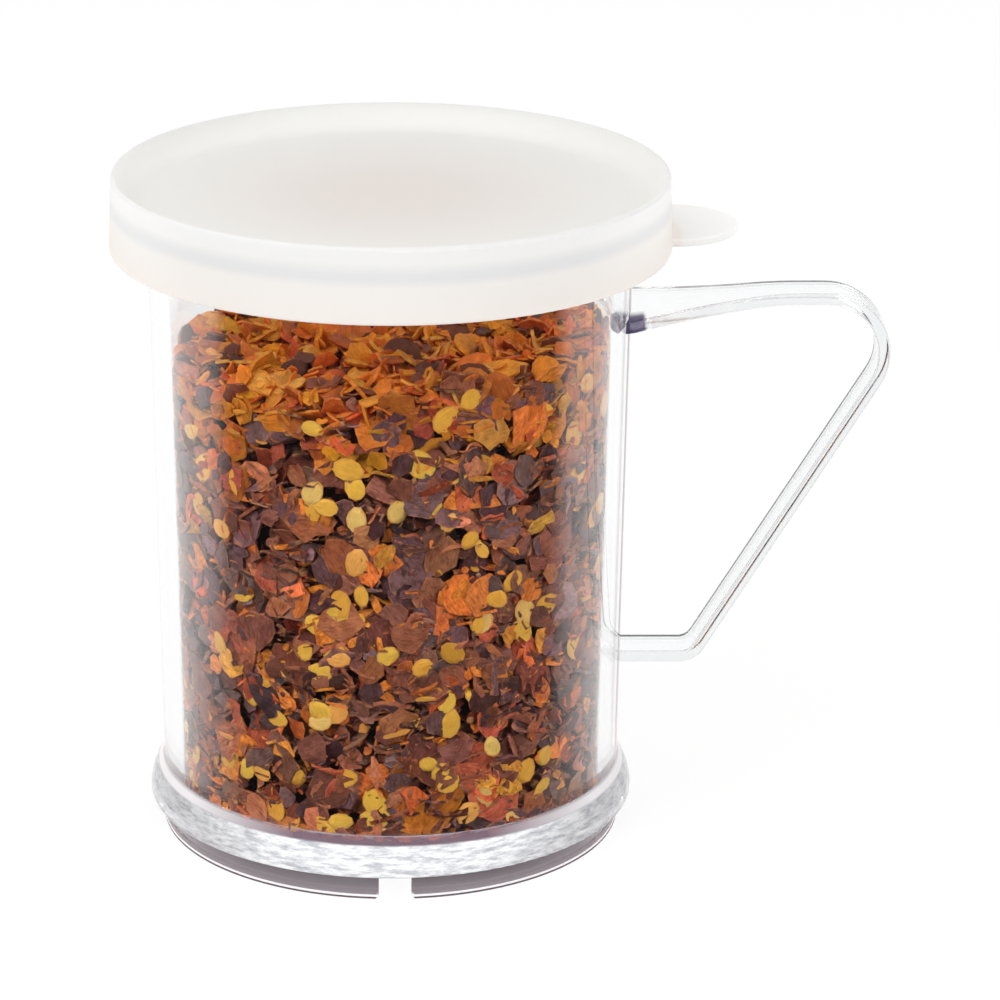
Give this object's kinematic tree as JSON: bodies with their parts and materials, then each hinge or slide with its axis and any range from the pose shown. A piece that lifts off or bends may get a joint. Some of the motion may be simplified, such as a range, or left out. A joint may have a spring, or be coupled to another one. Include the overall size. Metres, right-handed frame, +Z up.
{
  "type": "restaurant spice shaker",
  "caption": "Clear tapered shaker with a strap handle, perforated twist lid and translucent dished snap cover with a rounded pull tab, filled with crushed pepper flakes.",
  "frame": {"origin": "centre of the foot ring's resting plane, on the cup's axis", "axes": "+Z up along the cup's axis, +X from the axis towards the strap handle, the handle's loop in the XZ plane"},
  "size_m": [0.115, 0.0826, 0.1007],
  "materials": {
    "clear_plastic": "clear, polished, moulded",
    "cover_plastic": "translucent, slightly matte, flexible",
    "pepper": "dry crushed flakes and seeds"
  },
  "bodies": {
    "cup": {"cup_body": "clear_plastic", "strap_handle": "clear_plastic", "pepper_fill": "pepper"},
    "lid": {"shaker_lid": "clear_plastic"},
    "cover": {"snap_cover": "cover_plastic"}
  },
  "joints": [
    {"name": "lid_twist", "type": "hinge", "parent": "cup", "child": "lid", "pos_m": [0, 0, 0.094], "axis": [0, 0, 1], "range_deg": [0, 45]},
    {"name": "cover_lift", "type": "slide", "parent": "lid", "child": "cover", "axis": [0, 0, 1], "range_m": [0, 0.03]}
  ]
}
